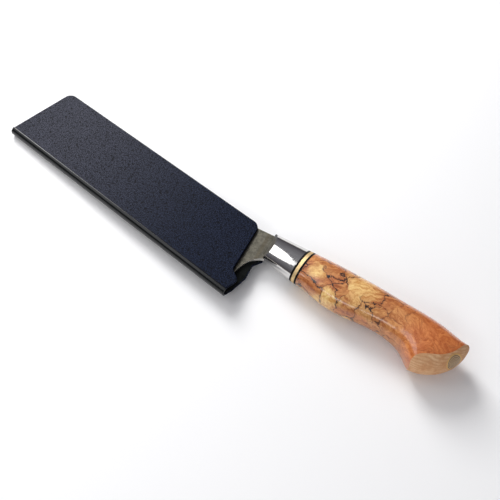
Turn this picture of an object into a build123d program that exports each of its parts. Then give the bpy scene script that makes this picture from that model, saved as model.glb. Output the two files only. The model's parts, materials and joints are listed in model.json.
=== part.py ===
# A cook's knife with a polished steel ferrule and a stabilised wood handle,
# its blade covered by a felt-lined folding edge guard. Millimetres, +Z up.
#
# The knife lies on its flank on a table, touching it with the guard's tip end and
# with the swell of the handle's butt, so its mid-plane slopes a little. Everything
# is drawn in two frames that lie in that mid-plane:
#   knife : x along the guard's fold towards the butt, y towards the spine
#   grip  : x along the handle, y towards the spine, starting at the ferrule's front
import math
import os

from build123d import *

# ---------------------------------------------------------------- driving sizes
# pose on the table
MIDDLE_X = 179.267          # knife x and y of the middle of the object's box
MIDDLE_Y = 33.242
BUTT_REACH = 335.3          # from the guard's tip end to where the butt touches
BUTT_DROP = 9.94            # how much thicker the butt's half is than the guard's

# guard
PANEL_INSIDE = 2.2           # from the mid-plane to a panel's inner face
PANEL_WALL = 1.3
GUARD_HEIGHT = 53.3          # at the heel end
TIP_HEIGHT = 51.3            # at the tip end
FOLD_LINE = -0.9             # y of the seam between the panels and the fold strip
FOLD_WALL = 1.1
FOLD_DEPTH = 2.6             # how far the fold strip's bead stands out past that seam
TIP_X = 0.7
TIP_SLANT = 7.8              # degrees
HEEL_SLANT = 13.0            # degrees
FRONT_HEEL_X = 209.5         # where the front panel's heel line would meet y = 0
BACK_HEEL_X = 221.9          # the back panel reaches further
GUARD_CORNER = 6.0
RIM_ROUNDING = 0.45
FELT_THICKNESS = 0.7
FELT_MARGIN = 0.8
STRIP_INSET = 0.1            # from the panels' tip end
STRIP_END_X = 213.0
STRIP_STEP = 0.25            # the strip's edge lies this much below the panel's face

# blade
SPINE_THICKNESS = 2.6
TIP_THICKNESS = 1.4
EDGE_THICKNESS = 0.3
EDGE_Y = 1.6
HEEL_X = 207.5
FLAT_EDGE_X = 120.0          # the edge is straight from the heel to here
TIP_OF_BLADE = (14.0, 15.0)
SPINE_RISE = (196.0, 51.1)   # from here the spine rises to the ferrule
SPINE_END = (213.0, 54.4)
CHOIL_TOP = (216.4, 35.2)    # where the choil meets the ferrule
CHOIL_END = 14.0
EDGE_CURVE = (60.0, 4.2)      # the edge's curve passes here
SPINE_CURVE = [(60.0, 41.5), (130.0, 47.6)]
CHOIL_CURVE = (211.0, 30.0)
PLUNGE_GAP = 4.6             # from the end of the flat grind to the ferrule

# grip frame
GRIP_X = 213.4
GRIP_Y = 45.75
GRIP_ANGLE = 4.0             # degrees, towards the spine
FERRULE_LENGTH = 24.0
RAMP_LENGTH = 4.4            # the ferrule's front slopes down to the blade
RAMP_RISE = 7.2
RAMP_SLANT = 10.1            # degrees
RAMP_LEAD = 1.3              # how far before the ferrule's start the ramp begins
BLACK_SPACER = 1.5
GOLD_SPACER = 2.3
HANDLE_START = FERRULE_LENGTH + 2 * BLACK_SPACER + GOLD_SPACER

# tang
TANG_END = 98.0
TANG_WIDTH = (13.0, 8.0)     # at the ferrule and at its end
TANG_HOLE_WIDTH = 15.0
TANG_HOLE_THICKNESS = 5.0
TANG_HOLE_END = 102.0
FIT_GAP = 0.05
TANG_LEAD = 1.5              # the tang begins this far inside the ricasso
SLOT_LEAD = 8.0

# butt: a barrel-shaped dome, slanted in plan
DOME_CENTRE = (115.8, 8.6)
DOME_RADIUS = 29.6
DOME_CROWN = 14.8
DOME_EDGE = 14.7             # half the barrel's height
CUT_RUN = (27.0, 35.5)       # the butt's cut runs this far along and across the grip
INLAY_ANGLE = -24.0          # degrees
INLAY_RAISE = 5.0
INLAY_RADIUS = 5.8
INLAY_RIM = 0.7
INLAY_DEPTH = 6.0

# Grip outline: distance along the grip, spine side, belly side, half thickness,
# and how square the section is (2 is an ellipse).
STATIONS = [
    (-6.0, 9.8, 10.1, 7.7, 2.0),
    (0.0, 10.4, 10.7, 8.2, 2.0),
    (24.0, 12.7, 12.7, 9.8, 2.0),
    (28.6, 13.1, 12.9, 10.1, 2.05),
    (40.0, 14.1, 13.6, 10.8, 2.15),
    (54.0, 15.1, 15.1, 11.3, 2.25),
    (68.0, 15.8, 13.9, 11.3, 2.3),
    (82.0, 16.2, 11.4, 11.2, 2.3),
    (96.0, 16.2, 10.6, 11.6, 2.3),
    (105.0, 16.2, 11.9, 12.4, 2.4),
    (112.0, 16.0, 15.1, 12.8, 2.6),
    (118.0, 15.8, 19.3, 13.2, 2.7),
    (126.0, 15.3, 21.3, 13.4, 2.6),
    (150.0, 13.6, 21.8, 13.5, 2.5),
]
SECTION_POINTS = 16
REACH = 60.0                 # longer than any cut needs

# ---------------------------------------------------------------- frames
slope = math.asin(BUTT_DROP / BUTT_REACH)
knife_up = Vector(-math.sin(slope), 0, math.cos(slope))
knife_along = Vector(math.cos(slope), 0, math.sin(slope))
half_guard = PANEL_INSIDE + PANEL_WALL
mid_height = half_guard * math.cos(slope) - (TIP_X - MIDDLE_X) * math.sin(slope)
middle = Vector(0, 0, mid_height) - knife_along * MIDDLE_X - Vector(0, MIDDLE_Y, 0)
knife = Plane(middle, x_dir=knife_along, z_dir=knife_up)

turn = math.radians(GRIP_ANGLE)
grip_along = knife.x_dir * math.cos(turn) + knife.y_dir * math.sin(turn)
grip = Plane(knife.from_local_coords((GRIP_X, GRIP_Y, 0)), x_dir=grip_along, z_dir=knife_up)


def across(frame, distance):
    """The plane across a frame at a distance along it: x to the spine, y up."""
    return Plane(frame.from_local_coords((distance, 0, 0)), x_dir=frame.y_dir, z_dir=frame.x_dir)


def outline_at(distance):
    """Spine side, belly side, half thickness and squareness of the grip there."""
    for near, far in zip(STATIONS, STATIONS[1:]):
        if distance <= far[0]:
            share = (distance - near[0]) / (far[0] - near[0])
            return [a + (b - a) * share for a, b in zip(near[1:], far[1:])]


def section_points(distance):
    """Points round the grip's section, from the spine over the upper flank."""
    spine, belly, thickness, power = outline_at(distance)
    centre = (spine - belly) / 2
    height = (spine + belly) / 2
    points = []
    for step in range(SECTION_POINTS):
        angle = 2 * math.pi * step / SECTION_POINTS
        c, s = math.cos(angle), math.sin(angle)
        across_grip = math.copysign(abs(c) ** (2 / power), c) * height
        up = math.copysign(abs(s) ** (2 / power), s) * thickness
        points.append((centre + across_grip, up))
    return points


def grip_solid(distances):
    """The grip's outer shape, smooth through its sections at these distances."""
    with BuildPart() as shape:
        for distance in distances:
            with BuildSketch(across(grip, distance)):
                with BuildLine():
                    Spline(*section_points(distance), periodic=True)
                make_face()
        loft()
    return shape.part


# ---------------------------------------------------------------- knife: blade
with BuildPart() as blade:
    # the flat-ground wedge, thinner towards the tip
    for station, thickness in ((0, TIP_THICKNESS), (GRIP_X, SPINE_THICKNESS)):
        with BuildSketch(across(knife, station)):
            Polygon(
                (0, -EDGE_THICKNESS / 2), (0, EDGE_THICKNESS / 2),
                (GUARD_HEIGHT, thickness / 2), (GUARD_HEIGHT, -thickness / 2),
                align=None,
            )
    loft()
    # the full-thickness ricasso behind the plunge line, parallel to the ferrule's front
    with BuildSketch(grip):
        with Locations(Location((-PLUNGE_GAP - RAMP_LEAD, 0), RAMP_SLANT)):
            Rectangle(FERRULE_LENGTH, REACH, align=(Align.MIN, Align.CENTER))
    extrude(amount=SPINE_THICKNESS / 2, both=True)
    # the side view: edge, tip, spine, ferrule end and choil
    with BuildSketch(knife):
        with BuildLine():
            Line((HEEL_X, EDGE_Y), (FLAT_EDGE_X, EDGE_Y))
            Spline(
                (FLAT_EDGE_X, EDGE_Y), EDGE_CURVE, TIP_OF_BLADE,
                tangents=((-1, 0), (-1, 0.42)),
            )
            Spline(
                TIP_OF_BLADE, *SPINE_CURVE, SPINE_RISE,
                tangents=((0.5, 1), (1, 0.12)),
            )
            Line(SPINE_RISE, SPINE_END)
            Line(SPINE_END, CHOIL_TOP)
            Spline(CHOIL_TOP, CHOIL_CURVE, (HEEL_X, CHOIL_END), tangents=((-1, -0.7), (0, -1)))
            Line((HEEL_X, CHOIL_END), (HEEL_X, EDGE_Y))
        make_face()
    extrude(amount=SPINE_THICKNESS, both=True, mode=Mode.INTERSECT)
    # the stick tang that runs through the ferrule into the handle
    with BuildSketch(grip):
        Polygon(
            (-TANG_LEAD, -TANG_WIDTH[0] / 2), (-TANG_LEAD, TANG_WIDTH[0] / 2),
            (TANG_END, TANG_WIDTH[1] / 2), (TANG_END, -TANG_WIDTH[1] / 2),
            align=None,
        )
    extrude(amount=SPINE_THICKNESS / 2, both=True)

# ---------------------------------------------------------------- knife: ferrule
ramp_across = grip.rotated((0, 0, RAMP_SLANT))
ramp_plane = Plane(
    grip.from_local_coords((-RAMP_LEAD, 0, 0)), x_dir=ramp_across.x_dir, z_dir=-ramp_across.y_dir
)

ferrule_shape = grip_solid([-6.0, 0.0, FERRULE_LENGTH])

with BuildPart() as ferrule:
    add(ferrule_shape)
    # two ramps slope from the blade's flanks up to the ferrule's full thickness
    with BuildSketch(ramp_plane):
        rise = SPINE_THICKNESS / 2
        Polygon(
            (0, -rise), (0, rise),
            (2 * RAMP_LENGTH, rise + 2 * RAMP_RISE), (REACH, rise + 2 * RAMP_RISE),
            (REACH, -rise - 2 * RAMP_RISE), (2 * RAMP_LENGTH, -rise - 2 * RAMP_RISE),
            align=None,
        )
    extrude(amount=REACH, both=True, mode=Mode.INTERSECT)
    # the slot for the tang
    with BuildSketch(grip):
        Polygon(
            (-SLOT_LEAD, -TANG_WIDTH[0] / 2 - 1), (-SLOT_LEAD, TANG_WIDTH[0] / 2 + 1),
            (FERRULE_LENGTH + 1, TANG_WIDTH[0] / 2), (FERRULE_LENGTH + 1, -TANG_WIDTH[0] / 2),
            align=None,
        )
    extrude(amount=SPINE_THICKNESS / 2 + FIT_GAP, both=True, mode=Mode.SUBTRACT)
    # the seat that the ricasso's end sits in
    add(blade.part, mode=Mode.SUBTRACT)


# ---------------------------------------------------------------- knife: spacers
def spacer(start, thickness):
    """One oval washer of the stack between ferrule and handle, with the tang's hole."""
    slice_of_grip = grip_solid([start, start + thickness])
    with BuildPart() as washer:
        add(slice_of_grip)
        with BuildSketch(across(grip, start)):
            Rectangle(TANG_HOLE_WIDTH, TANG_HOLE_THICKNESS)
        extrude(amount=thickness, mode=Mode.SUBTRACT)
    return washer


spacer_black_front = spacer(FERRULE_LENGTH, BLACK_SPACER)
spacer_gold = spacer(FERRULE_LENGTH + BLACK_SPACER, GOLD_SPACER)
spacer_black_rear = spacer(HANDLE_START - BLACK_SPACER, BLACK_SPACER)

# ---------------------------------------------------------------- knife: handle
dome_plane = Plane(
    grip.from_local_coords((*DOME_CENTRE, 0)), x_dir=grip.x_dir, z_dir=grip.y_dir
)

with BuildPart() as butt_trim:
    # everything in front of the dome's axis, which the butt's cut leaves alone
    with BuildSketch(grip):
        slant = math.degrees(math.atan2(CUT_RUN[1], CUT_RUN[0])) - 90
        with Locations(Location(DOME_CENTRE, slant)):
            Rectangle(5 * REACH, 7 * REACH, align=(Align.MAX, Align.CENTER))
    extrude(amount=REACH, both=True)
    # the barrel: an arc of the crown's radius turned about the dome's axis
    with BuildSketch(dome_plane):
        waist = DOME_RADIUS - DOME_CROWN + math.sqrt(DOME_CROWN**2 - DOME_EDGE**2)
        with BuildLine():
            Line((0, DOME_EDGE), (0, -DOME_EDGE))
            Line((0, -DOME_EDGE), (waist, -DOME_EDGE))
            ThreePointArc((waist, -DOME_EDGE), (DOME_RADIUS, 0), (waist, DOME_EDGE))
            Line((waist, DOME_EDGE), (0, DOME_EDGE))
        make_face()
    revolve(axis=Axis(dome_plane.origin, dome_plane.y_dir))

inlay_turn = math.radians(INLAY_ANGLE)
inlay_plane = Plane(
    grip.from_local_coords((*DOME_CENTRE, INLAY_RAISE)),
    x_dir=grip.z_dir,
    z_dir=grip.x_dir * math.cos(inlay_turn) + grip.y_dir * math.sin(inlay_turn),
)

handle_sections = [HANDLE_START] + [row[0] for row in STATIONS if row[0] > HANDLE_START + 1]
handle_shape = grip_solid(handle_sections)

with BuildPart() as handle_block:
    add(handle_shape)
    add(butt_trim.part, mode=Mode.INTERSECT)
    # the hole that the tang is glued into
    with BuildSketch(across(grip, HANDLE_START)):
        Rectangle(TANG_HOLE_WIDTH, TANG_HOLE_THICKNESS)
    extrude(amount=TANG_HOLE_END - HANDLE_START, mode=Mode.SUBTRACT)
    # the pocket for the round inlay
    with BuildSketch(inlay_plane.offset(DOME_RADIUS - INLAY_DEPTH)):
        Circle(INLAY_RADIUS)
    extrude(amount=2 * INLAY_DEPTH, mode=Mode.SUBTRACT)

with BuildPart() as tang_epoxy:
    with BuildSketch(across(grip, FERRULE_LENGTH)):
        Rectangle(TANG_HOLE_WIDTH, TANG_HOLE_THICKNESS)
    extrude(amount=TANG_HOLE_END - FERRULE_LENGTH)
    add(blade.part, mode=Mode.SUBTRACT)


def inlay(outer, inner):
    """A disc or ring let into the butt, flush with its dome."""
    with BuildPart() as piece:
        with BuildSketch(inlay_plane.offset(DOME_RADIUS - INLAY_DEPTH)):
            Circle(outer)
            if inner:
                Circle(inner, mode=Mode.SUBTRACT)
        extrude(amount=2 * INLAY_DEPTH)
        add(butt_trim.part, mode=Mode.INTERSECT)
    return piece


inlay_ring = inlay(INLAY_RADIUS, INLAY_RADIUS - INLAY_RIM)
inlay_core = inlay(INLAY_RADIUS - INLAY_RIM, 0)


# ---------------------------------------------------------------- guard
# Corners below the heel line: x, y and rounding; the first one's x follows that line.
# The back panel has a small nose under the ricasso before it reaches its tab.
FRONT_TAB = [(0, 14.6, 2.5), (214.7, 9.8, 3.5), (212.6, FOLD_LINE, 0)]
BACK_TAB = [
    (0, 35.4, 0.6), (216.2, 34.7, 1.0), (212.7, 27.4, 3.0),
    (215.6, 16.5, 5.0), (214.6, 4.0, 5.0), (213.4, FOLD_LINE, 0),
]


def panel_corners(heel_x, tab):
    """The corners of a panel's plan and their rounding: slanted tip and heel ends,
    rounded spine corners, and a tab that covers the blade's heel corner."""
    tip_run = (TIP_HEIGHT - FOLD_LINE) * math.tan(math.radians(TIP_SLANT))
    lean = math.tan(math.radians(HEEL_SLANT))
    notch = tab[0][1]
    points = [
        (TIP_X, FOLD_LINE),
        (TIP_X + tip_run, TIP_HEIGHT),
        (heel_x - GUARD_HEIGHT * lean, GUARD_HEIGHT),
        (heel_x - notch * lean, notch),
        *[corner[:2] for corner in tab[1:]],
    ]
    rounding = [0, GUARD_CORNER, GUARD_CORNER] + [corner[2] for corner in tab]
    return points, rounding


def panel(heel_x, tab, side):
    """A guard panel on the upper (+1) or lower (-1) side, its outer rim eased."""
    points, rounding = panel_corners(heel_x, tab)
    with BuildPart() as sheet:
        with BuildSketch(knife.offset(side * PANEL_INSIDE)):
            with BuildLine():
                FilletPolyline(*points, radius=rounding, close=True)
            make_face()
        extrude(amount=side * PANEL_WALL)
        outer_face = sheet.faces().sort_by(Axis(knife.origin, knife.z_dir * side))[-1]
        fillet(outer_face.edges(), radius=RIM_ROUNDING)
    return sheet


def felt(heel_x, tab, side):
    """The felt glued inside a panel, a little smaller than the panel all round."""
    points, rounding = panel_corners(heel_x, tab)
    with BuildPart() as lining:
        with BuildSketch(knife.offset(side * PANEL_INSIDE)):
            with BuildLine():
                FilletPolyline(*points, radius=rounding, close=True)
            make_face()
            offset(amount=-FELT_MARGIN)
        extrude(amount=-side * FELT_THICKNESS)
    return lining


guard_front_panel = panel(FRONT_HEEL_X, FRONT_TAB, 1)
guard_back_panel = panel(BACK_HEEL_X, BACK_TAB, -1)
felt_front = felt(FRONT_HEEL_X, FRONT_TAB, 1)
felt_back = felt(BACK_HEEL_X, BACK_TAB, -1)

with BuildPart() as guard_fold_strip:
    outside = half_guard - STRIP_STEP
    with BuildSketch(across(knife, TIP_X + STRIP_INSET)):
        with BuildLine():
            Line((FOLD_LINE, PANEL_INSIDE), (FOLD_LINE, outside))
            EllipticalCenterArc((FOLD_LINE, 0), FOLD_DEPTH, outside, start_angle=90, arc_size=180)
            Line((FOLD_LINE, -outside), (FOLD_LINE, -PANEL_INSIDE))
            EllipticalCenterArc(
                (FOLD_LINE, 0), FOLD_DEPTH - FOLD_WALL, PANEL_INSIDE,
                start_angle=90, arc_size=180,
            )
        make_face()
    extrude(amount=STRIP_END_X - TIP_X - STRIP_INSET)

# ---------------------------------------------------------------- write
pieces = {
    "blade": blade,
    "ferrule": ferrule,
    "spacer_black_front": spacer_black_front,
    "spacer_gold": spacer_gold,
    "spacer_black_rear": spacer_black_rear,
    "handle_block": handle_block,
    "tang_epoxy": tang_epoxy,
    "butt_inlay_ring": inlay_ring,
    "butt_inlay_core": inlay_core,
    "guard_front_panel": guard_front_panel,
    "guard_back_panel": guard_back_panel,
    "guard_fold_strip": guard_fold_strip,
    "felt_front": felt_front,
    "felt_back": felt_back,
}

os.makedirs("parts", exist_ok=True)
for name, piece in pieces.items():
    piece.part.label = name
    export_step(piece.part, f"parts/{name}.step")
    box = piece.part.bounding_box()
    print(f"{name:20s} low {box.min} high {box.max}")
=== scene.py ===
# %% [markdown]
# # A cook's knife in a felt-lined edge guard
#
# The knife has a forged blade, a mirror-polished steel ferrule, three washers and one
# block of stabilised spalted birch. A rigid folding guard covers the blade. The packed
# CAD model is the frame: every part already lies in its place, in metres. What is left
# is how each part is finished, plus the parts that a plain solid can't show: the sprung
# fold of the guard and the felt inside it.

# %% Load the frame
import json
import math

import bmesh
import bpy
from mathutils import Matrix, Vector, noise


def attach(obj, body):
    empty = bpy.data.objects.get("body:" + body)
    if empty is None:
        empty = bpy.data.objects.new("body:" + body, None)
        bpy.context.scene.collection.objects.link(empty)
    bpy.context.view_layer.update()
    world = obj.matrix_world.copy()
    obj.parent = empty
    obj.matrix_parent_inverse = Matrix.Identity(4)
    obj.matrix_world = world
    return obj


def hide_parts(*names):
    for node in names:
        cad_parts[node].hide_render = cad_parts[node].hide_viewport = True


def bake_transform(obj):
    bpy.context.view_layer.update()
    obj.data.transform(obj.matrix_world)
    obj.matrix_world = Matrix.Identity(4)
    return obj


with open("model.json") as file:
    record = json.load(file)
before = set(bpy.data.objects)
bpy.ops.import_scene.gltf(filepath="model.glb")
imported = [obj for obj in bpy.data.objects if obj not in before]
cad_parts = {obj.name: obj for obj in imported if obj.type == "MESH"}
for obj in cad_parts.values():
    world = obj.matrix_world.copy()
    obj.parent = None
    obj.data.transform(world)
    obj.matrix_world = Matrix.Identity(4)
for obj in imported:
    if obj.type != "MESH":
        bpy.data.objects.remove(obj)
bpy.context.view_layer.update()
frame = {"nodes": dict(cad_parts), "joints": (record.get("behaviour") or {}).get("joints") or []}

# %% [markdown]
# ## Measuring along the knife
#
# The knife lies on its flank and slopes a little, because the handle is thicker than
# the guard. All its sizes are easier to say along the knife itself: x along the fold of
# the guard towards the butt, y towards the spine, z out of the upper flank, in
# millimetres. The slide joint of the guard gives that direction, so nothing is guessed.

# %% Knife and grip axes
MM = 0.001
HALF_GUARD = 3.5                    # from the knife's mid-plane to the guard's outside
GUARD_TIP_X = 0.7                   # the guard rests on the table at this end
MIDDLE_OF_BOX = (179.267, 33.242)   # knife x and y of the middle of the object's box

slide = next(j for j in frame["joints"] if j["name"] == "guard_slide")
knife_along = -Vector(slide["axis"]).normalized()
knife_across = Vector((0, 1, 0))
knife_up = knife_along.cross(knife_across)
# the guard's tip end touches the table, which fixes how high the middle lies
middle_height = HALF_GUARD * knife_up.z + (MIDDLE_OF_BOX[0] - GUARD_TIP_X) * knife_along.z
knife_origin = (Vector((0, -MIDDLE_OF_BOX[1], middle_height))
                - knife_along * MIDDLE_OF_BOX[0]) * MM

GRIP_START = (213.4, 45.75)
GRIP_ANGLE = math.radians(4.0)
grip_along = knife_along * math.cos(GRIP_ANGLE) + knife_across * math.sin(GRIP_ANGLE)
grip_across = knife_across * math.cos(GRIP_ANGLE) - knife_along * math.sin(GRIP_ANGLE)


def knife_point(x, y, z):
    """A place measured along the knife, in millimetres, as a point of the frame."""
    return knife_origin + (knife_along * x + knife_across * y + knife_up * z) * MM


grip_origin = knife_point(*GRIP_START, 0)


def turn_of(along, across, up):
    """The turn that carries the frame's axes onto these three."""
    return Matrix((along, across, up)).transposed().to_euler()


knife_turn = turn_of(knife_along, knife_across, knife_up)
grip_turn = turn_of(grip_along, grip_across, knife_up)
print("slope of the knife", round(math.degrees(math.asin(knife_along.z)), 2), "degrees")

# %% [markdown]
# ## Small helpers for material nodes
#
# Every finish here is made of nodes, with no pictures. A few short functions keep the
# node trees readable: one adds a node and wires its inputs, and the others name the
# steps that come up again and again, such as a noise, a colour ramp or a mix.

# %% Node helpers
def srgb(red, green, blue):
    """A colour given as it looks on a screen, 0 to 255, as the linear colour nodes use."""
    def linear(v):
        v /= 255
        return v / 12.92 if v <= 0.04045 else ((v + 0.055) / 1.055) ** 2.4
    return (linear(red), linear(green), linear(blue), 1.0)


def add(tree, kind, inputs, **settings):
    """Adds a shader node. Each input gets a value, or a link if the value is a socket."""
    made = tree.nodes.new("ShaderNode" + kind)
    for key, value in settings.items():
        setattr(made, key, value)
    for key, value in inputs.items():
        if isinstance(value, bpy.types.NodeSocket):
            tree.links.new(value, made.inputs[key])
        else:
            made.inputs[key].default_value = value
    return made


def finish_named(name, **surface):
    """A new material with a Principled surface, and the values that are even all over."""
    material = bpy.data.materials.new(name)
    material.use_nodes = True
    tree = material.node_tree
    tree.nodes.clear()
    coat = add(tree, "BsdfPrincipled", {k.replace("_", " "): v for k, v in surface.items()})
    out = add(tree, "OutputMaterial", {"Surface": coat.outputs["BSDF"]})
    out.location, coat.location = (400, 0), (100, 0)
    return material, tree, coat


def place(tree, origin, turn):
    """Object coordinates turned into millimetres along a part."""
    where = add(tree, "TexCoord", {}).outputs["Object"]
    return add(tree, "Mapping", {
        "Vector": where, "Location": origin, "Rotation": turn, "Scale": (MM, MM, MM),
    }, vector_type="TEXTURE").outputs[0]


def stretched(tree, where, stretch, shift=(0, 0, 0)):
    """The same coordinates, scaled and shifted."""
    return add(tree, "Mapping", {
        "Vector": where, "Scale": stretch, "Location": shift}).outputs[0]


def cloud(tree, where, scale, detail=2.0, rough=0.5, warp=0.0, colour=False):
    """Soft noise, about 1/scale wide, from 0 to 1."""
    made = add(tree, "TexNoise", {
        "Vector": where, "Scale": scale, "Detail": detail, "Roughness": rough,
        "Distortion": warp,
    })
    return made.outputs["Color" if colour else "Fac"]


def cells(tree, where, scale, feature="F1", output="Distance"):
    """Cells about 1/scale wide."""
    made = add(tree, "TexVoronoi", {"Vector": where, "Scale": scale}, feature=feature)
    return made.outputs[output]


def sums(tree, operation, a, b=0.0, c=0.0):
    """One step of arithmetic."""
    return add(tree, "Math", {0: a, 1: b, 2: c}, operation=operation).outputs[0]


def step_between(tree, value, low, high, to_low=0.0, to_high=1.0):
    """A soft step: to_low below low, to_high above high."""
    return add(tree, "MapRange", {
        "Value": value, "From Min": low, "From Max": high, "To Min": to_low,
        "To Max": to_high,
    }, interpolation_type="SMOOTHSTEP").outputs[0]


def mix(tree, share, a, b, blend="MIX"):
    """Two colours mixed by share."""
    return add(tree, "Mix", {0: share, 6: a, 7: b},
               data_type="RGBA", blend_type=blend).outputs[2]


def moved(tree, where, push, amount):
    """Coordinates pushed about by a colour noise, so that a pattern wanders."""
    centred = add(tree, "VectorMath", {0: push, 1: (0.5, 0.5, 0.5)}, operation="SUBTRACT")
    scaled = add(tree, "VectorMath", {0: centred.outputs[0], "Scale": amount},
                 operation="SCALE")
    return add(tree, "VectorMath", {0: where, 1: scaled.outputs[0]},
               operation="ADD").outputs[0]


def part_of(tree, where, axis):
    """One of a vector's three numbers."""
    return add(tree, "SeparateXYZ", {0: where}).outputs[axis]


def bumped(tree, coat, height, strength, depth):
    """Gives a surface relief: depth is in metres."""
    bump = add(tree, "Bump", {"Height": height, "Strength": strength, "Distance": depth})
    for socket in ("Normal", "Coat Normal"):
        tree.links.new(bump.outputs[0], coat.inputs[socket])


def wear(tree, coat, **wires):
    """Wires patterns into the surface's inputs."""
    for key, value in wires.items():
        tree.links.new(value, coat.inputs[key.replace("_", " ")])


def dress(node, *materials):
    """Gives a CAD node these materials."""
    slots = frame["nodes"][node].data.materials
    slots.clear()
    for material in materials:
        slots.append(material)
    print(node, "is finished in", ", ".join(m.name for m in materials))


# %% [markdown]
# ## Stabilised spalted birch
#
# Spalting is the work of fungi: pale, bleached pockets in orange-brown wood, walled off
# by thin black zone lines that wander and close on themselves. Stabilising fills the
# wood with resin, which polishes like glass. A cell pattern gives both at once: each
# cell gets its own tone, and the distance to the cell's wall draws the zone line
# exactly where two tones meet. Noise pushes the coordinates about first, so that the
# walls wander. The lines and the pale pockets thin out towards the butt.

# %% Spalted birch
# millimetres along the grip between which each change from front to rear happens
POCKETS_FADE = (52.0, 100.0)
LINES_FADE = (78.0, 112.0)
REAR_WOOD = (84.0, 128.0)
# how far the pattern is pushed about, in millimetres, and pockets per millimetre
SLOW_WANDER, QUICK_WANDER = 16.0, 6.5
POCKETS = (0.078, 0.078, 0.07)
GRAIN_LEAN = 1.6                    # radians from one pocket's grain to the next, at most
LINE_HALF_WIDTH = (0.012, 0.038)    # of a zone line, as a share of a pocket
STAIN_WIDTH = 0.16                  # of the brown stain beside it, likewise

birch, tree, coat = finish_named(
    "stabilised_spalted_birch", Coat_Weight=1.0, Coat_Roughness=0.09, Coat_IOR=1.5,
    Specular_IOR_Level=0.4,
)
along_grip = place(tree, grip_origin, grip_turn)
distance = part_of(tree, along_grip, 0)

slow = cloud(tree, along_grip, 0.045, 2.0, 0.5, colour=True)
quick = cloud(tree, along_grip, 0.22, 4.0, 0.62, colour=True)
wandering = moved(tree, moved(tree, along_grip, slow, SLOW_WANDER), quick, QUICK_WANDER)
pockets = stretched(tree, wandering, POCKETS, (3.3, 1.7, 0.4))
to_wall = cells(tree, pockets, 1.0, "DISTANCE_TO_EDGE")
tone = part_of(tree, cells(tree, pockets, 1.0, "F1", "Color"), 0)
tone_two = part_of(tree, cells(tree, pockets, 1.0, "F1", "Color"), 1)

# grain: long streaks, turned a little from pocket to pocket
lean = sums(tree, "MULTIPLY", sums(tree, "SUBTRACT", tone_two, 0.5), GRAIN_LEAN)
grain_place = add(tree, "VectorRotate", {"Vector": wandering, "Angle": lean},
                  rotation_type="Z_AXIS").outputs[0]
streaks = cloud(tree, stretched(tree, grain_place, (0.06, 0.5, 0.5)), 1.0, 6.0, 0.66, 0.5)
streaks = step_between(tree, streaks, 0.32, 0.68)
fibres = cloud(tree, stretched(tree, along_grip, (0.16, 3.2, 3.2)), 1.0, 3.0, 0.6)
ripple = cloud(tree, stretched(tree, along_grip, (0.5, 0.07, 0.1)), 1.0, 2.0, 0.5, 0.8)

# how far the spalting has got, from the ferrule to the butt
front_share = step_between(tree, distance, *POCKETS_FADE, 1.0, 0.0)
patchy = cloud(tree, stretched(tree, along_grip, (0.05, 0.06, 0.06), (8.1, 0, 0)), 1.0, 2.0)
spread = sums(tree, "ADD", sums(tree, "MULTIPLY", tone, 0.35),
              sums(tree, "MULTIPLY", patchy, 0.9))
pale_share = sums(tree, "MULTIPLY", step_between(tree, spread, 0.6, 0.78), front_share)

orange = mix(tree, streaks, srgb(138, 74, 36), srgb(206, 144, 92))
orange = mix(tree, step_between(tree, patchy, 0.35, 0.65), orange,
             mix(tree, streaks, srgb(160, 104, 56), srgb(214, 166, 110)))
rear = mix(tree, streaks, srgb(164, 86, 38), srgb(204, 130, 74))
orange = mix(tree, step_between(tree, distance, *REAR_WOOD), orange, rear)
cream = mix(tree, streaks, srgb(204, 152, 88), srgb(250, 222, 164))
wood = mix(tree, pale_share, orange, cream)
fibre_tone = mix(tree, fibres, srgb(120, 62, 26), srgb(255, 226, 180))
ripple_tone = mix(tree, ripple, srgb(96, 52, 28), srgb(255, 232, 196))
wood = mix(tree, 0.45, wood, fibre_tone, "SOFT_LIGHT")
wood = mix(tree, 0.30, wood, ripple_tone, "SOFT_LIGHT")

# zone lines, with a brown stain beside them
present = cloud(
    tree, stretched(tree, along_grip, (0.055, 0.055, 0.055), (2.0, 5.0, 1.0)), 1.0, 1.0)
line_share = sums(tree, "MULTIPLY", step_between(tree, present, 0.36, 0.46),
                  step_between(tree, distance, *LINES_FADE, 1.0, 0.15))
thick = step_between(tree, cloud(tree, along_grip, 0.3, 1.0), 0.3, 0.72, *LINE_HALF_WIDTH)
beside = step_between(tree, sums(tree, "DIVIDE", to_wall, thick), 0.55, 1.15)
line = sums(tree, "MULTIPLY", sums(tree, "SUBTRACT", 1.0, beside), line_share)
stain = sums(tree, "MULTIPLY", step_between(tree, to_wall, 0.0, STAIN_WIDTH, 1.0, 0.0),
             line_share)
wood = mix(tree, sums(tree, "MULTIPLY", stain, 0.45), wood, srgb(160, 82, 40))
wood = mix(tree, line, wood, srgb(26, 12, 10))

# dark flecks, the ends of short pores
flecks = cells(tree, stretched(tree, along_grip, (0.5, 1.5, 1.5)), 1.0)
flecks = sums(tree, "MULTIPLY", step_between(tree, flecks, 0.06, 0.16, 1.0, 0.0),
              step_between(tree, patchy, 0.45, 0.7))
wood = mix(tree, sums(tree, "MULTIPLY", flecks, 0.55), wood, srgb(96, 48, 24))

polish = step_between(tree, streaks, 0.2, 0.8, 0.34, 0.5)
wear(tree, coat, Base_Color=wood, Roughness=polish)
waves = sums(tree, "ADD", cloud(tree, along_grip, 0.09, 1.0),
             sums(tree, "MULTIPLY", streaks, 0.03))
bumped(tree, coat, waves, 0.5, 0.0003)

# %% [markdown]
# ## End grain of the butt
#
# The butt is cut across the grain and only sanded, so it stays matt and paler than the
# flanks. End grain shows growth rings as arcs and pores as tiny dots. Rings are a wave
# around a centre well outside the handle, bent by a slow noise.

# %% End grain
RING_CENTRE = (0, 26.0, 34.0)       # how far off the grip's axis the rings' middle lies
RING_BEND = 5.0
PORES_PER_MM = 1.5

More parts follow.
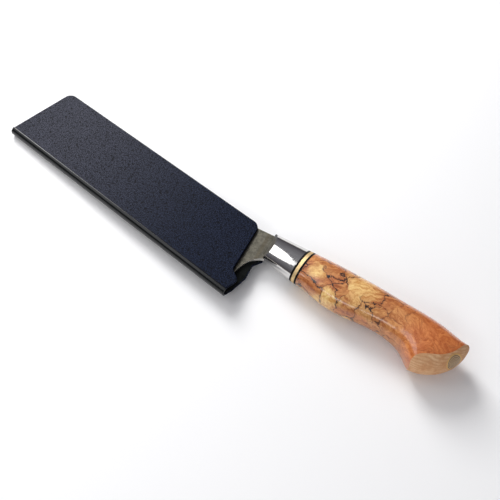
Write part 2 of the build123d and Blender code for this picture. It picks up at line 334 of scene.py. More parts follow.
end_grain, tree, coat = finish_named("sanded_end_grain", Specular_IOR_Level=0.3)
along_grip = place(tree, grip_origin, grip_turn)
bent = moved(tree, along_grip, cloud(tree, along_grip, 0.08, 2.0, 0.5, colour=True),
             RING_BEND)
rings = add(tree, "TexWave", {
    "Vector": stretched(tree, bent, (0.0, 1.0, 1.0), RING_CENTRE), "Scale": 0.17,
    "Distortion": 1.2, "Detail": 3.0, "Detail Scale": 1.4,
}, wave_type="RINGS", rings_direction="X").outputs["Fac"]
dust = cloud(tree, along_grip, 1.1, 4.0, 0.65)
mottle = cloud(tree, along_grip, 0.16, 3.0, 0.6)
pale = mix(tree, rings, srgb(206, 158, 118), srgb(226, 188, 150))
pale = mix(tree, step_between(tree, mottle, 0.35, 0.7), pale, srgb(198, 146, 104))
pale = mix(tree, 0.5, pale, mix(tree, dust, srgb(90, 70, 54), srgb(255, 240, 220)),
           "SOFT_LIGHT")
pores = step_between(tree, cells(tree, along_grip, PORES_PER_MM), 0.1, 0.24, 1.0, 0.0)
pale = mix(tree, sums(tree, "MULTIPLY", pores, 0.4), pale, srgb(120, 86, 56))
wear(tree, coat, Base_Color=pale, Roughness=step_between(tree, dust, 0.2, 0.8, 0.5, 0.68))
bumped(tree, coat, sums(tree, "ADD", dust, sums(tree, "MULTIPLY", pores, -0.6)), 0.35, 0.0002)

# %% [markdown]
# The butt's face is part of a barrel around an axis through the handle. The CAD edge
# between flank and butt is exact, so each face of the mesh belongs wholly to one or the
# other, and the material can be chosen face by face: a face is end grain where it lies on
# the barrel and looks the barrel's way. A small part of the butt lies a little inside the
# barrel, so a looser distance is allowed where the face is very square to it.

# %% Two finishes on the handle block
DOME_CENTRE = (115.8, 8.6)
DOME_RADIUS, DOME_CROWN = 29.6, 14.8
# how far off the barrel a face may be, in millimetres, and how square it then has to be
CLOSE_FIT = (0.04, 0.9)
LOOSE_FIT = (0.3, 0.985)
dress("handle_block", birch, end_grain)
handle = frame["nodes"]["handle_block"].data


def barrel_at(point):
    """How far a point is off the barrel, in millimetres, and which way is out there."""
    from_grip = (point - grip_origin) / MM
    x, y, z = from_grip.dot(grip_along), from_grip.dot(grip_across), from_grip.dot(knife_up)
    x, y = x - DOME_CENTRE[0], y - DOME_CENTRE[1]
    out = math.hypot(x, y)
    lean = math.sqrt(max(0, DOME_CROWN**2 - z**2))
    outwards = (grip_along * x + grip_across * y) * lean / out + knife_up * z
    return abs(out - (DOME_RADIUS - DOME_CROWN + lean)), outwards.normalized()


on_butt = 0
for face in handle.polygons:
    off = max(barrel_at(handle.vertices[index].co)[0] for index in face.vertices)
    square = barrel_at(face.center)[1].dot(face.normal)
    if any(off < far and square > least for far, least in (CLOSE_FIT, LOOSE_FIT)):
        face.material_index = 1
        on_butt += 1
print(on_butt, "faces of the handle are end grain")

# %% [markdown]
# ## Steel
#
# The blade is satin: fine scratches along the blade, and a cloudy mottle from etching.
# The ferrule is polished to a mirror, where only smears and a few hairline scratches
# tell it from perfect. The two differ in roughness. The ferrule's sloping shoulder is
# painted dark, duller and less metallic as a painted dark reflection, and a brownish band
# of painted shade crosses the blade just before it. The blade's rims are painted pale
# as a painted highlight.

# %% Satin blade
RAMP_SLANT = math.radians(10.1)     # the ferrule's front is cut at this slant
# millimetres before the ferrule between which the band of painted shade comes and goes
SHADE_BAND_STARTS, SHADE_BAND_ENDS = (-6.6, -6.0), (-4.6, -2.6)

satin, tree, coat = finish_named("satin_blade_steel", Metallic=1.0)
on_blade = place(tree, knife_origin, knife_turn)
mottle = cloud(tree, on_blade, 0.45, 5.0, 0.62, 0.6)
scratch = cloud(tree, stretched(tree, on_blade, (0.1, 6.0, 6.0)), 1.0, 3.0, 0.7)
facing = add(tree, "VectorMath", {0: add(tree, "TexCoord", {}).outputs["Normal"], 1: knife_up},
             operation="DOT_PRODUCT").outputs["Value"]
rim = step_between(tree, sums(tree, "ABSOLUTE", facing), 0.35, 0.75, 1.0, 0.0)
steel = mix(tree, step_between(tree, mottle, 0.3, 0.7), srgb(78, 76, 69), srgb(103, 100, 91))
steel = mix(tree, 0.35, steel, mix(tree, scratch, srgb(90, 88, 84), srgb(240, 238, 232)),
            "SOFT_LIGHT")
band_turn = (grip_turn.to_matrix() @ Matrix.Rotation(RAMP_SLANT, 3, "Z")).to_euler()
near_ferrule = part_of(tree, place(tree, grip_origin, band_turn), 0)
painted_band_shade = sums(tree, "MULTIPLY", step_between(tree, near_ferrule, *SHADE_BAND_STARTS),
            step_between(tree, near_ferrule, *SHADE_BAND_ENDS, 1.0, 0.0))
# painted shade: a brownish band painted darker across the blade just before the ferrule
steel = mix(tree, sums(tree, "MULTIPLY", painted_band_shade, 0.42), steel, srgb(80, 72, 58))
# painted highlight: the rims, square to the flanks, are painted pale
steel = mix(tree, rim, steel, srgb(226, 224, 218))
satin_rough = step_between(tree, mottle, 0.25, 0.75, 0.3, 0.44)
satin_rough = sums(tree, "ADD", satin_rough, sums(tree, "MULTIPLY", rim, 0.14))
wear(tree, coat, Base_Color=steel, Roughness=satin_rough)
bumped(tree, coat, sums(tree, "ADD", scratch, mottle), 0.25, 0.00004)
dress("blade", satin)

# %% Mirror ferrule
SHOULDER = (-0.75, -0.55)           # how far a face has to look towards the blade

mirror, tree, coat = finish_named("mirror_ferrule_steel", Specular_IOR_Level=0.12)
on_grip = place(tree, grip_origin, grip_turn)
smear = cloud(tree, stretched(tree, on_grip, (0.12, 0.3, 0.3)), 1.0, 4.0, 0.6, 0.8)
hairline = cloud(tree, stretched(tree, on_grip, (3.0, 0.15, 0.15)), 1.0, 2.0, 0.6)
tint = mix(tree, smear, srgb(205, 203, 200), srgb(232, 231, 230))
# painted dark reflection: the sloping shoulder is painted dark, duller and less metallic
ahead = add(tree, "VectorMath", {0: add(tree, "TexCoord", {}).outputs["Normal"], 1: grip_along},
            operation="DOT_PRODUCT").outputs["Value"]
shoulder = step_between(tree, ahead, *SHOULDER, 1.0, 0.0)
tint = mix(tree, shoulder, tint, mix(tree, smear, srgb(22, 21, 24), srgb(44, 43, 46)))
mirror_rough = sums(tree, "ADD", step_between(tree, smear, 0.3, 0.8, 0.03, 0.1),
                    sums(tree, "MULTIPLY", hairline, 0.02))
wear(tree, coat, Base_Color=tint,
     Roughness=sums(tree, "ADD", mirror_rough, sums(tree, "MULTIPLY", shoulder, 0.25)),
     Metallic=sums(tree, "SUBTRACT", 1.0, sums(tree, "MULTIPLY", shoulder, 0.85)))
bumped(tree, coat, sums(tree, "ADD", smear, sums(tree, "MULTIPLY", hairline, 0.1)), 0.2, 0.00006)
dress("ferrule", mirror)

# %% [markdown]
# ## Washers, inlay and glue
#
# The stack is black fibre, brass, black fibre. Washers are turned down flush with the
# handle, so their fine marks run round the stack, across the grip. The inlay in the
# butt is a plain brass ring around a core of brown resin, faced off on a lathe.

# %% Washers, inlay and glue
def turned_metal(name, low, high, stretch, rough):
    """Metal with fine turning marks and small dark pits."""
    material, tree, coat = finish_named(name, Metallic=1.0)
    where = place(tree, grip_origin, grip_turn)
    marks = cloud(tree, stretched(tree, where, stretch), 1.0, 3.0, 0.6)
    spots = cloud(tree, where, 1.3, 4.0, 0.7)
    metal = mix(tree, spots, srgb(*low), srgb(*high))
    metal = mix(tree, 0.4, metal, mix(tree, marks, srgb(80, 70, 60), srgb(255, 250, 240)),
                "SOFT_LIGHT")
    wear(tree, coat, Base_Color=metal,
         Roughness=step_between(tree, spots, 0.25, 0.75, rough, rough + 0.16))
    bumped(tree, coat, sums(tree, "ADD", marks, spots), 0.3, 0.00005)
    return material


def filled_plastic(name, low, high, rough, **surface):
    """Hard dark plastic or resin: uneven tone, and a skin that is never quite flat."""
    material, tree, coat = finish_named(name, **surface)
    where = place(tree, grip_origin, grip_turn)
    cloudy = cloud(tree, where, 0.7, 4.0, 0.6)
    fine = cloud(tree, where, 4.0, 2.0, 0.5)
    wear(tree, coat, Base_Color=mix(tree, cloudy, srgb(*low), srgb(*high)),
         Roughness=step_between(tree, cloudy, 0.25, 0.75, rough, rough + 0.15))
    bumped(tree, coat, sums(tree, "ADD", cloudy, fine), 0.3, 0.00005)
    return material


brass = turned_metal("brass_washer", (186, 150, 96), (255, 232, 184), (2.2, 0.7, 0.7), 0.42)
black_fibre = filled_plastic("black_fibre_washer", (2, 2, 2), (8, 8, 8), 0.35,
                             Specular_IOR_Level=0.12)
ring_brass = turned_metal("inlay_ring_brass", (196, 150, 88), (250, 214, 150),
                          (0.3, 3.0, 3.0), 0.5)
INLAY_ANGLE = math.radians(-24.0)   # from the grip's axis, in plan
INLAY_RAISE = 5.0                   # above the mid-plane


def turned_resin(name, low, high):
    """Resin faced off on a lathe: rings run round the inlay's own axis."""
    material, tree, coat = finish_named(name, Specular_IOR_Level=0.4)
    aim = grip_along * math.cos(INLAY_ANGLE) + grip_across * math.sin(INLAY_ANGLE)
    centre = grip_origin + (grip_along * DOME_CENTRE[0] + grip_across * DOME_CENTRE[1]
                            + knife_up * INLAY_RAISE) * MM
    where = place(tree, centre, turn_of(aim, knife_up.cross(aim), knife_up))
    grooves = add(tree, "TexWave", {"Vector": where, "Scale": 0.34, "Distortion": 0.5,
                                    "Detail Scale": 1.5},
                  wave_type="RINGS", rings_direction="X").outputs["Fac"]
    grit = cloud(tree, where, 2.2, 3.0, 0.6)
    tone = mix(tree, step_between(tree, grooves, 0.4, 0.6), srgb(*low), srgb(*high))
    tone = mix(tree, 0.35, tone, mix(tree, grit, srgb(40, 30, 20), srgb(240, 225, 200)),
               "SOFT_LIGHT")
    wear(tree, coat, Base_Color=tone, Roughness=step_between(tree, grit, 0.3, 0.7, 0.3, 0.5))
    bumped(tree, coat, grooves, 0.3, 0.0001)
    return material


brown_resin = turned_resin("inlay_brown_resin", (84, 64, 48), (214, 182, 142))
amber_glue = filled_plastic("amber_epoxy", (150, 104, 46), (182, 134, 70), 0.25)
dress("spacer_gold", brass)
dress("spacer_black_front", black_fibre)
dress("spacer_black_rear", black_fibre)
dress("butt_inlay_ring", ring_brass)
dress("butt_inlay_core", brown_resin)
dress("tang_epoxy", amber_glue)

# %% [markdown]
# ## Grained plastic of the guard
#
# The panels are moulded from dark slate-blue plastic with a pebble grain about a
# millimetre wide. Pebbles are cells whose walls are low, so a smoothed cell distance
# makes the relief. Tiny pale specks on the tops are a painted highlight, and the low
# walls are painted darker as painted shade. Towards the heel the plastic is painted a
# deeper, darker navy: a painted sheen at the tip end that fades to painted shade at the heel.

# %% Panel plastic
PAINTED_SHEEN_FADE = (30.0, 190.0)        # the painted sheen fades to painted shade between these, along the fold


def grained(name, rough, relief):
    """The guard's moulded plastic."""
    material, tree, coat = finish_named(name, Specular_IOR_Level=0.045)
    where = place(tree, knife_origin, knife_turn)
    warped = moved(tree, where, cloud(tree, where, 0.8, 2.0, 0.5, colour=True), 0.9)
    pebble = cells(tree, warped, 1.05, "SMOOTH_F1")
    grit = cloud(tree, where, 1.7, 3.0, 0.7)
    broad = cloud(tree, where, 0.05, 2.0, 0.5)
    painted_sheen_fade = step_between(tree, part_of(tree, where, 0), *PAINTED_SHEEN_FADE)
    # painted sheen and shade: the plastic and its specks are painted lighter at the tip end and
    # darker navy towards the heel
    slate = mix(tree, painted_sheen_fade, srgb(8, 10, 20), srgb(0, 0, 14))
    painted_speck_highlight = mix(tree, painted_sheen_fade, srgb(84, 86, 100), srgb(40, 50, 72))
    # painted highlight: pale specks on the raised grit, the tops of the grain
    skin = mix(tree, step_between(tree, grit, 0.44, 0.60), slate, painted_speck_highlight)
    # painted shade: the pebbles' low walls are painted darker
    skin = mix(tree, step_between(tree, pebble, 0.4, 0.75), skin, srgb(2, 3, 8))
    skin = mix(tree, 0.2, skin, mix(tree, broad, srgb(60, 60, 66), srgb(220, 220, 226)),
               "SOFT_LIGHT")
    wear(tree, coat, Base_Color=skin,
         Roughness=step_between(tree, grit, 0.3, 0.7, rough, rough + 0.14))
    lift = sums(tree, "SUBTRACT", sums(tree, "MULTIPLY", grit, 0.5), pebble)
    bumped(tree, coat, lift, 0.55, relief)
    return material


pebbled = grained("pebbled_slate_plastic", 0.42, 0.00025)
dress("guard_front_panel", pebbled)
dress("guard_back_panel", pebbled)

# %% [markdown]
# ## The sprung fold
#
# One rounded strip joins the two panels along the edge side. It is a bead with a thin
# raised lip where it laps each panel. Its section is the same all the way, so Geometry
# Nodes sweep a profile along a line: the profile is drawn once, and the length is one
# number.

# %% Profile of the fold strip
FOLD_LINE = -0.9                    # y of the seam between the panels and the strip
PANEL_INSIDE = 2.2                  # from the mid-plane to a panel's inner face
FOLD_DEPTH = 2.6                    # how far the bead stands out past the seam
FOLD_WALL = 1.1
STRIP_START, STRIP_END = 0.8, 213.0
STRIP_STEPS = 71
ARC_STEPS = 20
LIP_WIDTH, LIP_RISE = 1.0, 0.22
LIP_SINK, LIP_ROUND = 0.05, 0.12    # into the panel's face, and at the lip's edge
ROOT_LAP = 0.02                     # the strip passes the seam by this much


def fold_profile():
    """The strip's closed section as (towards the spine, up) in millimetres."""
    outer, inner = [], []
    for step in range(ARC_STEPS + 1):
        angle = math.pi * step / ARC_STEPS
        s, c = math.sin(angle), math.cos(angle)
        outer.append((FOLD_LINE - FOLD_DEPTH * s, (HALF_GUARD + ROOT_LAP) * c))
        inner.append((FOLD_LINE - (FOLD_DEPTH - FOLD_WALL) * s, PANEL_INSIDE * c))
    top = HALF_GUARD + LIP_RISE
    lip = [
        (FOLD_LINE + LIP_WIDTH, HALF_GUARD - LIP_SINK),
        (FOLD_LINE + LIP_WIDTH, top - LIP_ROUND),
        (FOLD_LINE + LIP_WIDTH - LIP_ROUND, top - 0.02),
        (FOLD_LINE + LIP_WIDTH / 2, top + 0.03),
        (FOLD_LINE + 0.2, top), (FOLD_LINE - 0.05, top - 0.08),
    ]
    lower_lip = [(y, -z) for y, z in reversed(lip)]
    root = [(FOLD_LINE + ROOT_LAP, HALF_GUARD - LIP_SINK)]
    lower_root = [(FOLD_LINE + ROOT_LAP, LIP_SINK - HALF_GUARD)]
    return lip + outer[1:-1] + lower_lip + lower_root + inner[::-1] + root


profile = fold_profile()
print("the fold strip's section has", len(profile), "points")

# %% Sweep the strip with Geometry Nodes
def geometry_tree(name, sizes, materials=()):
    """A Geometry Nodes tree with a geometry input and output, and named inputs."""
    tree = bpy.data.node_groups.new(name, "GeometryNodeTree")
    face = tree.interface
    face.new_socket("Geometry", in_out="INPUT", socket_type="NodeSocketGeometry")
    for label, value in sizes.items():
        kind = "NodeSocketInt" if isinstance(value, int) else "NodeSocketFloat"
        socket = face.new_socket(label, in_out="INPUT", socket_type=kind)
        socket.default_value = value
    for label in materials:
        face.new_socket(label, in_out="INPUT", socket_type="NodeSocketMaterial")
    face.new_socket("Geometry", in_out="OUTPUT", socket_type="NodeSocketGeometry")
    return tree


def grow(tree, kind, inputs, **settings):
    """Adds a node to a Geometry Nodes tree."""
    made = tree.nodes.new(kind)
    for key, value in settings.items():
        setattr(made, key, value)
    for key, value in inputs.items():
        if isinstance(value, bpy.types.NodeSocket):
            tree.links.new(value, made.inputs[key])
        else:
            made.inputs[key].default_value = value
    return made


def settled(obj, tree, values):
    """Puts the tree on obj, sets its inputs by identifier, and makes the result a mesh."""
    modifier = obj.modifiers.new("build", "NODES")
    modifier.node_group = tree
    for item in tree.interface.items_tree:
        if item.item_type == "SOCKET" and item.in_out == "INPUT" and item.name in values:
            modifier[item.identifier] = values[item.name]
    bpy.context.view_layer.update()
    seen = obj.evaluated_get(bpy.context.evaluated_depsgraph_get())
    mesh = bpy.data.meshes.new_from_object(seen)
    mesh.name = obj.name
    obj.modifiers.clear()
    obj.data = mesh
    return obj


def mesh_object(name, points, faces):
    """A new mesh object with its place in its mesh."""
    mesh = bpy.data.meshes.new(name)
    mesh.from_pydata(points, [], faces)
    obj = bpy.data.objects.new(name, mesh)
    bpy.context.scene.collection.objects.link(obj)
    return obj


print("Geometry Nodes helpers are ready")

# %% [markdown]
# The strip is one sweep: the profile's edges become a curve, Curve to Mesh carries it
# along a straight line cut into even steps, and Set Material gives it its gloss. The
# steps matter, because a long box of only two rings could not catch light evenly.

# %% Build the fold strip
fold_gloss, tree, coat = finish_named("glossy_fold_plastic", Specular_IOR_Level=0.3)
where = place(tree, knife_origin, knife_turn)
drag = cloud(tree, stretched(tree, where, (0.08, 1.2, 1.2)), 1.0, 3.0, 0.6)
dimple = cloud(tree, where, 1.4, 3.0, 0.6)
fold_colour = mix(tree, drag, srgb(3, 5, 6), srgb(12, 15, 18))
wear(tree, coat, Base_Color=fold_colour,
     Roughness=step_between(tree, dimple, 0.3, 0.7, 0.12, 0.24))
bumped(tree, coat, sums(tree, "ADD", drag, dimple), 0.35, 0.00008)

sweep = geometry_tree("sweep_a_profile", {"Length": 0.2, "Steps": 60}, ("Finish",))
inlet = grow(sweep, "NodeGroupInput", {})
outlet = grow(sweep, "NodeGroupOutput", {})
run = grow(sweep, "ShaderNodeVectorMath", {0: tuple(knife_along)}, operation="SCALE")
sweep.links.new(inlet.outputs["Length"], run.inputs["Scale"])
line_node = grow(sweep, "GeometryNodeCurvePrimitiveLine", {"End": run.outputs[0]})
spaced = grow(sweep, "GeometryNodeResampleCurve", {
    "Curve": line_node.outputs[0], "Count": inlet.outputs["Steps"]})
upright = grow(sweep, "GeometryNodeSetCurveNormal", {"Curve": spaced.outputs[0]},
               mode="Z_UP")
section = grow(sweep, "GeometryNodeMeshToCurve", {"Mesh": inlet.outputs["Geometry"]})
swept = grow(sweep, "GeometryNodeCurveToMesh", {
    "Curve": upright.outputs[0], "Profile Curve": section.outputs[0], "Fill Caps": True})
real = grow(sweep, "GeometryNodeRealizeInstances", {0: swept.outputs[0]})
painted = grow(sweep, "GeometryNodeSetMaterial", {
    "Geometry": real.outputs[0], "Material": inlet.outputs["Finish"]})
sweep.links.new(painted.outputs[0], outlet.inputs[0])

strip = mesh_object("fold_strip", [], [])
ring = bmesh.new()
corners = [ring.verts.new((-y * MM, -z * MM, 0)) for y, z in profile]
for a, b in zip(corners, corners[1:] + corners[:1]):
    ring.edges.new((a, b))
ring.to_mesh(strip.data)
ring.free()
settled(strip, sweep, {"Length": (STRIP_END - STRIP_START) * MM, "Steps": STRIP_STEPS,
                       "Finish": fold_gloss})
strip.data.transform(Matrix.Translation(knife_point(STRIP_START, 0, 0)))
print("fold strip", len(strip.data.vertices), "points",
      [round(v, 4) for v in strip.bound_box[0]], [round(v, 4) for v in strip.bound_box[6]])

# %% [markdown]
# ## Felt
#
# Both panels are lined with black felt, so that the edge never rubs on plastic. Felt is
# matted wool: no weave, a lumpy face, a soft rim, and stray fibres along the cut. The
# pad starts from a copy of the CAD lining, cut into a fine net so that it can be pushed
# about: noise lifts and lowers the face, and a live bevel would not follow that, so the
# rim is rounded one point at a time. The stray fibres are scattered by Geometry Nodes, because
# there are thousands of them.

# %% Felt material
felt_wool, tree, coat = finish_named("black_wool_felt", Sheen_Weight=0.08, Sheen_Roughness=0.5,
                                     Specular_IOR_Level=0.12)
where = place(tree, knife_origin, knife_turn)
matted = cloud(tree, where, 0.9, 5.0, 0.72, 1.2)
hairs = cloud(tree, stretched(tree, moved(tree, where, cloud(
    tree, where, 0.5, 2.0, 0.5, colour=True), 4.0), (0.9, 4.5, 2.0)), 1.0, 3.0, 0.7)
wool = mix(tree, hairs, srgb(3, 4, 4), srgb(17, 20, 18))
wool = mix(tree, step_between(tree, matted, 0.35, 0.7), wool, srgb(9, 12, 10))
wear(tree, coat, Base_Color=wool, Roughness=step_between(tree, matted, 0.2, 0.8, 0.85, 1.0))
bumped(tree, coat, sums(tree, "ADD", matted, hairs), 0.7, 0.0003)

# %% Cut, round and mat one felt pad
NET = 2.5                # millimetres between the cuts of the net
MAT_DEPTH = 0.07         # how far the matted face rises and falls
FELT_INNER = 1.5         # height of the pad's face over the knife's middle
RIM_CUT = 0.3            # one cut this close inside each rim keeps the rounding narrow
RIM_DROP = 0.18          # how far the rim sinks towards the panel
FACE_REACH = 0.3         # points this near to the face's height belong to the face
LUMPS, NAP = 0.35, 1.3   # waves per millimetre, large and small
OPEN_FROM, OPEN_BELOW = 190, 20    # the pad's corner that shows at the guard's heel


def measured(point):
    """A point of the frame as (x, y, z) along the knife, in millimetres."""
    from_knife = (point - knife_origin) / MM
    return Vector([from_knife.dot(axis) for axis in (knife_along, knife_across, knife_up)])


def felt_pad(name, node, seed):
    """A felt lining in place of its plain CAD solid."""
    work = bmesh.new()
    work.from_mesh(frame["nodes"][node].data)
    bmesh.ops.remove_doubles(work, verts=work.verts, dist=MM / 1000)
    bmesh.ops.dissolve_limit(work, angle_limit=math.radians(1), verts=work.verts[:],
                             edges=work.edges[:])
    corners = [measured(v.co) for v in work.verts]
    for axis, direction in ((0, knife_along), (1, knife_across)):
        low, high = min(c[axis] for c in corners), max(c[axis] for c in corners)
        net = [low + NET * n for n in range(1, int((high - low) / NET))]
        for cut in [low + RIM_CUT] + net + [high - RIM_CUT]:
            bmesh.ops.bisect_plane(
                work, geom=work.verts[:] + work.edges[:] + work.faces[:],
                plane_co=knife_origin + direction * cut * MM, plane_no=direction)
    middle = sum((measured(v.co).z for v in work.verts), 0) / len(work.verts)
    side = 1 if middle > 0 else -1
    rims = {v for f in work.faces if abs(f.normal.dot(knife_up)) < 0.5 for v in f.verts}
    for v in work.verts:
        here = measured(v.co)
        if abs(abs(here.z) - FELT_INNER) > FACE_REACH:
            continue
        lift = noise.noise(here * LUMPS + Vector((seed, 0, 0))) * MAT_DEPTH
        lift += noise.noise(here * NAP + Vector((seed, 5, 0))) * MAT_DEPTH / 2
        away = RIM_DROP if v in rims else 0
        v.co += knife_up * side * (MAT_DEPTH + lift + away) * MM
    bmesh.ops.triangulate(work, faces=[f for f in work.faces if len(f.verts) > 4])
    bmesh.ops.recalc_face_normals(work, faces=work.faces)
    pad = mesh_object(name, [], [])
    work.to_mesh(pad.data)
    work.free()
    for face in pad.data.polygons:
        face.use_smooth = True
    pad.data.materials.append(felt_wool)
    pad.data.set_sharp_from_angle(angle=math.radians(50))
    cut_edge = pad.data.attributes.new("cut_edge", "FLOAT", "POINT")
    for v, value in zip(pad.data.vertices, cut_edge.data):
        here = measured(v.co)
        exposed = here.x > OPEN_FROM and here.y < OPEN_BELOW
        value.value = 1.0 if exposed else 0.0
    for face in pad.data.polygons:
        if abs(face.normal.dot(knife_up)) < 0.5:
            for index in face.vertices:
                cut_edge.data[index].value = 1.0
    print(name, len(pad.data.polygons), "faces")
    return pad


felt_upper = felt_pad("felt_upper", "felt_front", 3.0)
felt_lower = felt_pad("felt_lower", "felt_back", 11.0)

# %% [markdown]
# ## Stray fibres
#
# A cut edge of felt sheds short, bent hairs. One hair is a curve with a thin section;
# Geometry Nodes scatter it where the pad's cut edge is marked, each hair leaning its own
# way and of its own length.

# %% Stray fibres along the cut, scattered by Geometry Nodes
HALF_TURN = 3.14
SHORTEST, LONGEST = 0.4, 1.0    # shares of the fibre length
fuzz = geometry_tree("stray_fibres", {
    "Fibres per square metre": 1.6e6, "Fibre length": 0.0011, "Thickness": 0.00002,
    "Lean": 1.1, "Seed": 1}, ("Finish",))
inlet = grow(fuzz, "NodeGroupInput", {})
outlet = grow(fuzz, "NodeGroupOutput", {})
where_cut = grow(fuzz, "GeometryNodeInputNamedAttribute", {"Name": "cut_edge"})
density = grow(fuzz, "ShaderNodeMath", {
    0: where_cut.outputs["Attribute"], 1: inlet.outputs["Fibres per square metre"]},
    operation="MULTIPLY")
spots = grow(fuzz, "GeometryNodeDistributePointsOnFaces", {
    "Mesh": inlet.outputs["Geometry"], "Density": density.outputs[0],
    "Seed": inlet.outputs["Seed"]})
bend = grow(fuzz, "GeometryNodeCurveQuadraticBezier", {"Resolution": 3, "Start": (0, 0, 0)})
middle = grow(fuzz, "ShaderNodeCombineXYZ", {"X": 0.0, "Y": 0.0})
half_long = grow(fuzz, "ShaderNodeMath", {0: inlet.outputs["Fibre length"], 1: 0.5},
                 operation="MULTIPLY")
fuzz.links.new(half_long.outputs[0], middle.inputs["Z"])
top = grow(fuzz, "ShaderNodeCombineXYZ", {
    "X": half_long.outputs[0], "Y": 0.0, "Z": inlet.outputs["Fibre length"]})
fuzz.links.new(middle.outputs[0], bend.inputs["Middle"])
fuzz.links.new(top.outputs[0], bend.inputs["End"])
round_section = grow(fuzz, "GeometryNodeCurvePrimitiveCircle", {
    "Resolution": 3, "Radius": inlet.outputs["Thickness"]})
fibre = grow(fuzz, "GeometryNodeCurveToMesh", {
    "Curve": bend.outputs[0], "Profile Curve": round_section.outputs[0], "Fill Caps": True})
low_lean = grow(fuzz, "ShaderNodeMath", {0: inlet.outputs["Lean"], 1: -1.0},
                operation="MULTIPLY")
sway = grow(fuzz, "FunctionNodeRandomValue", {"Seed": 5}, data_type="FLOAT_VECTOR")
low_vector = grow(fuzz, "ShaderNodeCombineXYZ", {
    "X": low_lean.outputs[0], "Y": low_lean.outputs[0], "Z": -HALF_TURN})
high_vector = grow(fuzz, "ShaderNodeCombineXYZ", {
    "X": inlet.outputs["Lean"], "Y": inlet.outputs["Lean"], "Z": HALF_TURN})
fuzz.links.new(low_vector.outputs[0], sway.inputs["Min"])
fuzz.links.new(high_vector.outputs[0], sway.inputs["Max"])
turn = grow(fuzz, "FunctionNodeRotateRotation", {
    "Rotation": spots.outputs["Rotation"], "Rotate By": sway.outputs[0]},
    rotation_space="LOCAL")
size = grow(fuzz, "FunctionNodeRandomValue", {"Seed": 9}, data_type="FLOAT")
size.inputs[2].default_value, size.inputs[3].default_value = SHORTEST, LONGEST
planted = grow(fuzz, "GeometryNodeInstanceOnPoints", {
    "Points": spots.outputs["Points"], "Instance": fibre.outputs[0],
    "Rotation": turn.outputs[0], "Scale": size.outputs[1]})
real = grow(fuzz, "GeometryNodeRealizeInstances", {0: planted.outputs[0]})
painted = grow(fuzz, "GeometryNodeSetMaterial", {
    "Geometry": real.outputs[0], "Material": inlet.outputs["Finish"]})
fuzz.links.new(painted.outputs[0], outlet.inputs[0])


def fibres_on(name, pad, seed):
    """Stray fibres as one mesh, grown on the cut edge of a pad."""
    obj = bpy.data.objects.new(name, pad.data.copy())
    bpy.context.scene.collection.objects.link(obj)
    settled(obj, fuzz, {"Seed": seed, "Finish": felt_wool})
    print(name, len(obj.data.polygons), "faces")
    return obj


fuzz_upper = fibres_on("felt_fibres_upper", felt_upper, 3)
fuzz_lower = fibres_on("felt_fibres_lower", felt_lower, 7)

# %% [markdown]
# ## Camera
#
# The camera stands about half a metre off, on the edge's side and beyond the butt, and
# looks down at the middle of the knife. Its place is given along the knife.

# %% Camera
CAMERA_AT = (386.94, -191.25, 462.83)
LOOK_AT = (192.0, 33.0, 0.0)
FOCAL_LENGTH, SENSOR_WIDTH = 57.6, 36.0
SHIFT = (0.03, -0.016)
lens = bpy.data.cameras.new("camera")
lens.lens, lens.sensor_width = FOCAL_LENGTH, SENSOR_WIDTH
lens.shift_x, lens.shift_y = SHIFT
camera = bpy.data.objects.new("camera", lens)
bpy.context.scene.collection.objects.link(camera)
back = (knife_point(*CAMERA_AT) - knife_point(*LOOK_AT)).normalized()
right = knife_up.cross(back).normalized()
camera.matrix_world = Matrix((right, back.cross(right), back)).transposed().to_4x4()
camera.matrix_world.translation = knife_point(*CAMERA_AT)
bpy.context.scene.camera = camera
print("camera at", [round(v, 3) for v in camera.matrix_world.translation])

# %% [markdown]
# ## Floor
#
# A wide pale sheet, a hair's breadth below the knife so that the two never share a plane.

# %% Floor
FLOOR_HALF = 2.5
FLOOR_DROP = 0.0002
floor_paint = finish_named("pale_floor", Roughness=0.6, Specular_IOR_Level=0.2,
                           Base_Color=(0.96, 0.96, 0.96, 1))[0]
floor = mesh_object("floor", [
    (x * FLOOR_HALF, y * FLOOR_HALF, -FLOOR_DROP)
    for x, y in ((-1, -1), (1, -1), (1, 1), (-1, 1))], [(0, 1, 2, 3)])
floor.data.materials.append(floor_paint)

# %% [markdown]
# ## Light
#
# Four soft lights. The key throws the shadow, the window is the one bright patch in the
# mirror ferrule, the streak makes the long highlight on the handle, and the fill opens
# the near side. The key and the streak leave the ferrule out, so that it shows a single
# window. The room around is dark at eye level, which gives the polished steel its dark
# bands, and plain white where the camera sees it directly.

# %% Lights
def softbox(name, aim_from, size, power, at=(0.02, 0, 0)):
    """A white area light at a place, turned towards the knife."""
    data = bpy.data.lights.new(name, "AREA")
    data.shape, (data.size, data.size_y) = "RECTANGLE", size
    data.energy = power
    light = bpy.data.objects.new(name, data)
    bpy.context.scene.collection.objects.link(light)
    light.location = aim_from
    light.rotation_euler = (Vector(at) - Vector(aim_from)).to_track_quat("-Z", "Y").to_euler()
    return light


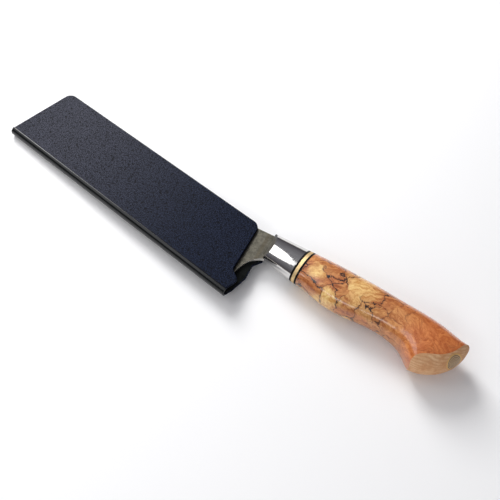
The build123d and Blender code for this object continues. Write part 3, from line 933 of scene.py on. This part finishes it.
key = softbox("key", (-0.95, 0.50, 0.74), (0.6, 0.6), 18.0)
window = softbox("window", (-0.65, -0.20, 0.90), (0.7, 1.3), 4.8, at=(-0.65, -0.2, 0))
window.data.shape = "ELLIPSE"
streak = softbox("streak", (-0.10, -0.95, 0.90), (0.62, 0.24), 1.9, at=(-0.10, 0, 0))
softbox("front_fill", (0.75, -0.85, 0.45), (0.7, 0.5), 2.6)

kept_dark = bpy.data.collections.new("kept_dark")
kept_dark.objects.link(frame["nodes"]["ferrule"])
key.light_linking.receiver_collection = kept_dark
streak.light_linking.receiver_collection = kept_dark
kept_dark.collection_objects[0].light_linking.link_state = "EXCLUDE"

# %% The room around
HORIZON, DARK_BAND, OVERHEAD = 0.5, 0.56, 1.0    # heights on the ramp, 0.5 is level
ROOM_STRENGTH = 0.55
SEEN_WHITE = (1.8, 1.8, 1.8, 1)
world = bpy.data.worlds.new("studio")
bpy.context.scene.world = world
world.use_nodes = True
tree = world.node_tree
tree.nodes.clear()
heading = add(tree, "TexCoord", {}).outputs["Generated"]
height = part_of(tree, heading, 2)
ramp = add(tree, "ValToRGB", {"Fac": sums(tree, "MULTIPLY_ADD", height, 0.5, 0.5)})
stops = ramp.color_ramp.elements
stops[0].position, stops[0].color = HORIZON, (0.95, 0.9, 0.82, 1)
stops[1].position, stops[1].color = OVERHEAD, (0.5, 0.5, 0.54, 1)
stops.new(DARK_BAND).color = (0.12, 0.11, 0.13, 1)
seen = add(tree, "LightPath", {}).outputs["Is Camera Ray"]
sky = mix(tree, seen, ramp.outputs[0], SEEN_WHITE)
glow = add(tree, "Background", {"Color": sky, "Strength": ROOM_STRENGTH})
add(tree, "OutputWorld", {"Surface": glow.outputs[0]})
bpy.context.scene.view_settings.view_transform = "Standard"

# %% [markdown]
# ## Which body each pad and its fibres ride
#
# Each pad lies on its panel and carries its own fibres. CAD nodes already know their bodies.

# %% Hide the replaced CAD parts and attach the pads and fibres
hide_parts("guard_fold_strip")
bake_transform(strip)
for pad, fibres, node, body, panel in (
    (felt_upper, fuzz_upper, "felt_front", "guard_front", "guard_front_panel"),
    (felt_lower, fuzz_lower, "felt_back", "guard_back", "guard_back_panel"),
):
    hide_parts(node)
    for piece in (pad, fibres):
        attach(piece, body)
